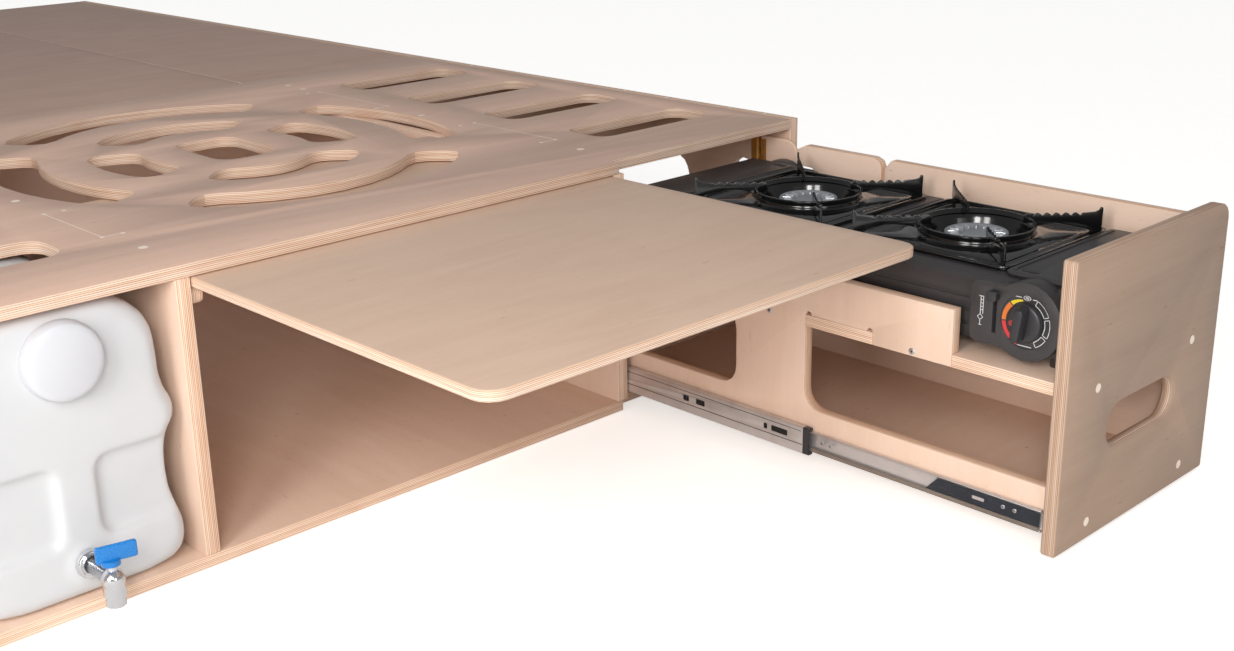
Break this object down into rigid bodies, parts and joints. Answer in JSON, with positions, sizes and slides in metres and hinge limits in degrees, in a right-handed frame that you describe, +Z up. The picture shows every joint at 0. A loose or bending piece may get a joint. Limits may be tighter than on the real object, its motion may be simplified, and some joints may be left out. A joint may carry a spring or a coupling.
{
  "type": "camper van kitchen box",
  "caption": "Plywood camper van bed box with a water canister bay, a pull-out table and a kitchen drawer on full-extension slides that carries portable gas stoves.",
  "frame": {"origin": "on the floor, under the middle of the box's front edge", "axes": "+X along the front towards the kitchen drawer, +Y from the front into the box, +Z up"},
  "size_m": [1.404, 3.072, 0.356],
  "materials": {
    "ply_face": "film-faced plywood, satin",
    "ply_pale": "birch plywood, oiled",
    "zinc": "zinc plated",
    "brass": "satin",
    "black_plastic": "moulded",
    "black_enamel": "gloss enamel",
    "stove_paint": "satin powder coat",
    "aluminium": "cast",
    "tank_white": "blow-moulded, slightly translucent",
    "cap_white": "moulded",
    "chrome": "polished",
    "handle_blue": "moulded"
  },
  "bodies": {
    "carcass": {"base_panel": "ply_pale", "front_deck": "ply_face", "left_end_panel": "ply_face", "right_end_panel": "ply_face", "left_divider": "ply_pale", "right_divider": "ply_pale", "tail_board": "ply_face", "bulkhead_left": "ply_pale", "bulkhead_middle": "ply_pale", "bulkhead_right": "ply_pale", "rear_deck_left": "ply_face", "rear_deck_right": "ply_face", "table_runner_left": "ply_pale", "table_runner_right": "ply_pale", "slide_packer": "ply_pale", "slide_outer_left": "zinc", "slide_outer_right": "zinc", "hinge_leaf_frame": "brass", "hinge_pin": "brass"},
    "rear_lid": {"rear_deck_middle": "ply_face"},
    "table": {"table_board": "ply_face"},
    "slide_left": {"slide_middle_left": "zinc", "slide_stop_left": "black_plastic"},
    "slide_right": {"slide_middle_right": "zinc", "slide_stop_right": "black_plastic"},
    "drawer": {"drawer_front": "ply_face", "drawer_left_side": "ply_pale", "drawer_right_side": "ply_pale", "drawer_bottom": "ply_pale", "drawer_back": "ply_pale", "stove_shelf": "ply_pale", "slide_inner_left": "zinc", "slide_inner_right": "zinc", "stove_2_body": "stove_paint", "stove_2_drip_pan": "black_enamel", "stove_2_burner_head": "aluminium"},
    "stove_1": {"stove_1_body": "stove_paint", "stove_1_drip_pan": "black_enamel", "stove_1_burner_head": "aluminium"},
    "wind_flap": {"wind_flap": "ply_pale", "hinge_leaf_flap": "brass"},
    "canister": {"water_canister": "tank_white", "tap_nut": "chrome", "tap_body": "chrome"},
    "canister_cap": {"canister_cap": "cap_white"},
    "tap_lever": {"tap_lever": "handle_blue"},
    "stove_1_pan_support": {"stove_1_pan_support": "black_enamel"},
    "stove_1_cartridge_lid": {"stove_1_cartridge_lid": "stove_paint"},
    "stove_1_knob": {"stove_1_knob": "black_plastic"},
    "stove_1_lock_lever": {"stove_1_lock_lever": "black_plastic"},
    "stove_2_pan_support": {"stove_2_pan_support": "black_enamel"},
    "stove_2_cartridge_lid": {"stove_2_cartridge_lid": "stove_paint"},
    "stove_2_knob": {"stove_2_knob": "black_plastic"},
    "stove_2_lock_lever": {"stove_2_lock_lever": "black_plastic"}
  },
  "joints": [
    {"name": "drawer_slide", "type": "slide", "parent": "carcass", "child": "drawer", "axis": [0, -1, 0], "range_m": [-0.672, 0]},
    {"name": "slide_left_extend", "type": "slide", "parent": "carcass", "child": "slide_left", "axis": [0, -1, 0], "range_m": [-0.34272, 0]},
    {"name": "slide_right_extend", "type": "slide", "parent": "carcass", "child": "slide_right", "axis": [0, -1, 0], "range_m": [-0.34272, 0]},
    {"name": "table_slide", "type": "slide", "parent": "carcass", "child": "table", "axis": [0, -1, 0], "range_m": [-0.496, 0]},
    {"name": "canister_slide", "type": "slide", "parent": "carcass", "child": "canister", "axis": [0, -1, 0], "range_m": [0, 0.4]},
    {"name": "cap_turn", "type": "hinge", "parent": "canister", "child": "canister_cap", "pos_m": [-0.482, 0, 0.2863], "axis": [0, -1, 0], "range_deg": [0, 360]},
    {"name": "tap_turn", "type": "hinge", "parent": "canister", "child": "tap_lever", "pos_m": [-0.482, -0.0503, 0.09], "axis": [0, 0, 1], "range_deg": [-90, 0]},
    {"name": "stove_1_lift", "type": "slide", "parent": "drawer", "child": "stove_1", "axis": [0, 0, 1], "range_m": [0, 0.15]},
    {"name": "stove_1_support_lift", "type": "slide", "parent": "stove_1", "child": "stove_1_pan_support", "axis": [0, 0, 1], "range_m": [0, 0.06]},
    {"name": "stove_2_support_lift", "type": "slide", "parent": "drawer", "child": "stove_2_pan_support", "axis": [0, 0, 1], "range_m": [0, 0.06]},
    {"name": "stove_1_lid_open", "type": "hinge", "parent": "stove_1", "child": "stove_1_cartridge_lid", "pos_m": [0.48, -0.646, 0.3026], "axis": [1, 0, 0], "range_deg": [0, 80]},
    {"name": "stove_2_lid_open", "type": "hinge", "parent": "drawer", "child": "stove_2_cartridge_lid", "pos_m": [0.49, 0.027, 0.3026], "axis": [-1, 0, 0], "range_deg": [0, 45]},
    {"name": "stove_1_knob_turn", "type": "hinge", "parent": "stove_1", "child": "stove_1_knob", "pos_m": [0.33, -0.605, 0.2633], "axis": [-1, 0, 0], "range_deg": [0, 180]},
    {"name": "stove_2_knob_turn", "type": "hinge", "parent": "drawer", "child": "stove_2_knob", "pos_m": [0.64, -0.014, 0.2633], "axis": [1, 0, 0], "range_deg": [0, 180]},
    {"name": "stove_1_lever_press", "type": "slide", "parent": "stove_1", "child": "stove_1_lock_lever", "axis": [0, 0, -1], "range_m": [0, 0.038]},
    {"name": "stove_2_lever_press", "type": "slide", "parent": "drawer", "child": "stove_2_lock_lever", "axis": [0, 0, -1], "range_m": [0, 0.038]},
    {"name": "wind_flap_swing", "type": "hinge", "parent": "carcass", "child": "wind_flap", "pos_m": [0.6811, 0.0699, 0.28], "axis": [0, 0, -1], "range_deg": [0, 9]},
    {"name": "rear_lid_lift", "type": "slide", "parent": "carcass", "child": "rear_lid", "axis": [0, 0, 1], "range_m": [0, 0.2]}
  ],
  "couplings": [
    {"joint": "slide_left_extend", "follows": "drawer_slide", "ratio": 0.51},
    {"joint": "slide_right_extend", "follows": "drawer_slide", "ratio": 0.51}
  ]
}
